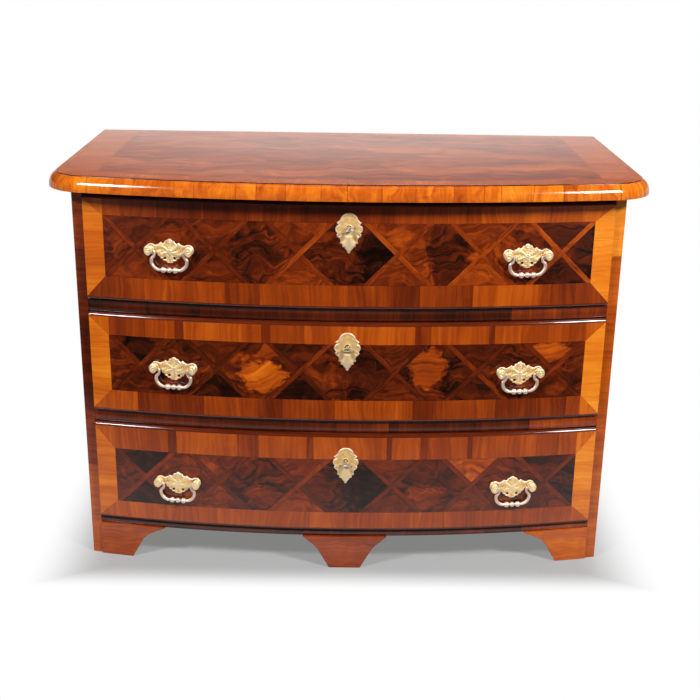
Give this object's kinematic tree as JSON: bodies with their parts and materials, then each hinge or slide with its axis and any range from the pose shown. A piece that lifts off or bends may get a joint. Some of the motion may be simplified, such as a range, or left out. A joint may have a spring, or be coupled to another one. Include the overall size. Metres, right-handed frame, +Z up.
{
  "type": "chest of drawers",
  "caption": "Bow-front chest of drawers with an overhanging moulded top, bracket feet, drop-bail handles, locks with keys and marquetry fronts.",
  "frame": {"origin": "on the floor, under the middle of the whole chest with its keys", "axes": "+X to the right as seen from the front, the front faces -Y, +Z up"},
  "size_m": [1.2282, 0.6495, 0.858],
  "materials": {
    "walnut_top": "polished walnut veneer",
    "walnut_carcass": "polished walnut veneer",
    "walnut_marquetry": "polished walnut marquetry",
    "spruce": "planed softwood",
    "brass": "cast and polished",
    "iron": "forged, dark",
    "steel": "worn"
  },
  "bodies": {
    "carcass": {"top_board": "walnut_top", "top_moulding_front": "walnut_top", "top_moulding_left": "walnut_top", "top_moulding_right": "walnut_top", "side_left": "walnut_carcass", "side_right": "walnut_carcass", "stile_left": "walnut_carcass", "stile_right": "walnut_carcass", "top_rail": "walnut_carcass", "divider_rail_upper": "walnut_carcass", "divider_rail_lower": "walnut_carcass", "bottom_rail": "walnut_carcass", "back_rail": "spruce", "back_panel": "spruce", "bottom_board": "spruce", "runners_upper": "spruce", "runners_lower": "spruce", "foot_left": "walnut_carcass", "foot_centre": "walnut_carcass", "foot_right": "walnut_carcass", "foot_blocks": "spruce"},
    "drawer_1": {"drawer_1_front": "walnut_marquetry", "drawer_1_side_left": "spruce", "drawer_1_side_right": "spruce", "drawer_1_back": "spruce", "drawer_1_bottom": "spruce", "lock_case_1": "iron", "escutcheon_1": "brass", "handle_plates_1": "brass", "handle_posts_1": "brass"},
    "drawer_2": {"drawer_2_front": "walnut_marquetry", "drawer_2_side_left": "spruce", "drawer_2_side_right": "spruce", "drawer_2_back": "spruce", "drawer_2_bottom": "spruce", "lock_case_2": "iron", "escutcheon_2": "brass", "handle_plates_2": "brass", "handle_posts_2": "brass"},
    "drawer_3": {"drawer_3_front": "walnut_marquetry", "drawer_3_side_left": "spruce", "drawer_3_side_right": "spruce", "drawer_3_back": "spruce", "drawer_3_bottom": "spruce", "lock_case_3": "iron", "escutcheon_3": "brass", "handle_plates_3": "brass", "handle_posts_3": "brass"},
    "bail_1_left": {"bail_1_left": "brass"},
    "bail_1_right": {"bail_1_right": "brass"},
    "bail_2_left": {"bail_2_left": "brass"},
    "bail_2_right": {"bail_2_right": "brass"},
    "bail_3_left": {"bail_3_left": "brass"},
    "bail_3_right": {"bail_3_right": "brass"},
    "key_1": {"key_1": "steel"},
    "lock_bolt_1": {"lock_bolt_1": "iron"},
    "key_2": {"key_2": "steel"},
    "lock_bolt_2": {"lock_bolt_2": "iron"},
    "key_3": {"key_3": "steel"},
    "lock_bolt_3": {"lock_bolt_3": "iron"}
  },
  "joints": [
    {"name": "drawer_1_slide", "type": "slide", "parent": "carcass", "child": "drawer_1", "axis": [0, -1, 0], "range_m": [0, 0.4]},
    {"name": "drawer_2_slide", "type": "slide", "parent": "carcass", "child": "drawer_2", "axis": [0, -1, 0], "range_m": [0, 0.4]},
    {"name": "drawer_3_slide", "type": "slide", "parent": "carcass", "child": "drawer_3", "axis": [0, -1, 0], "range_m": [0, 0.4]},
    {"name": "bail_1_left_hinge", "type": "hinge", "parent": "drawer_1", "child": "bail_1_left", "pos_m": [-0.36217, -0.27154, 0.71], "axis": [-0.9915, 0.1303, 0], "range_deg": [0, 100]},
    {"name": "bail_1_right_hinge", "type": "hinge", "parent": "drawer_1", "child": "bail_1_right", "pos_m": [0.36217, -0.27154, 0.71], "axis": [-0.9915, -0.1303, 0], "range_deg": [0, 100]},
    {"name": "bail_2_left_hinge", "type": "hinge", "parent": "drawer_2", "child": "bail_2_left", "pos_m": [-0.36217, -0.27154, 0.457], "axis": [-0.9915, 0.1303, 0], "range_deg": [0, 100]},
    {"name": "bail_2_right_hinge", "type": "hinge", "parent": "drawer_2", "child": "bail_2_right", "pos_m": [0.36217, -0.27154, 0.457], "axis": [-0.9915, -0.1303, 0], "range_deg": [0, 100]},
    {"name": "bail_3_left_hinge", "type": "hinge", "parent": "drawer_3", "child": "bail_3_left", "pos_m": [-0.36217, -0.27154, 0.194], "axis": [-0.9915, 0.1303, 0], "range_deg": [0, 100]},
    {"name": "bail_3_right_hinge", "type": "hinge", "parent": "drawer_3", "child": "bail_3_right", "pos_m": [0.36217, -0.27154, 0.194], "axis": [-0.9915, -0.1303, 0], "range_deg": [0, 100]},
    {"name": "key_1_turn", "type": "hinge", "parent": "drawer_1", "child": "key_1", "pos_m": [0, -0.28625, 0.768], "axis": [0, -1, 0], "range_deg": [-30, 60]},
    {"name": "lock_bolt_1_slide", "type": "slide", "parent": "drawer_1", "child": "lock_bolt_1", "axis": [0, 0, 1], "range_m": [-0.00467, 0.00933]},
    {"name": "key_2_turn", "type": "hinge", "parent": "drawer_2", "child": "key_2", "pos_m": [0, -0.28625, 0.518], "axis": [0, -1, 0], "range_deg": [0, 90]},
    {"name": "lock_bolt_2_slide", "type": "slide", "parent": "drawer_2", "child": "lock_bolt_2", "axis": [0, 0, 1], "range_m": [0, 0.014]},
    {"name": "key_3_turn", "type": "hinge", "parent": "drawer_3", "child": "key_3", "pos_m": [0, -0.28625, 0.261], "axis": [0, -1, 0], "range_deg": [0, 90]},
    {"name": "lock_bolt_3_slide", "type": "slide", "parent": "drawer_3", "child": "lock_bolt_3", "axis": [0, 0, 1], "range_m": [0, 0.014]}
  ],
  "couplings": [
    {"joint": "key_1_turn", "follows": "lock_bolt_1_slide", "rad_per_m": 112.2},
    {"joint": "key_2_turn", "follows": "lock_bolt_2_slide", "rad_per_m": 112.2},
    {"joint": "key_3_turn", "follows": "lock_bolt_3_slide", "rad_per_m": 112.2}
  ]
}
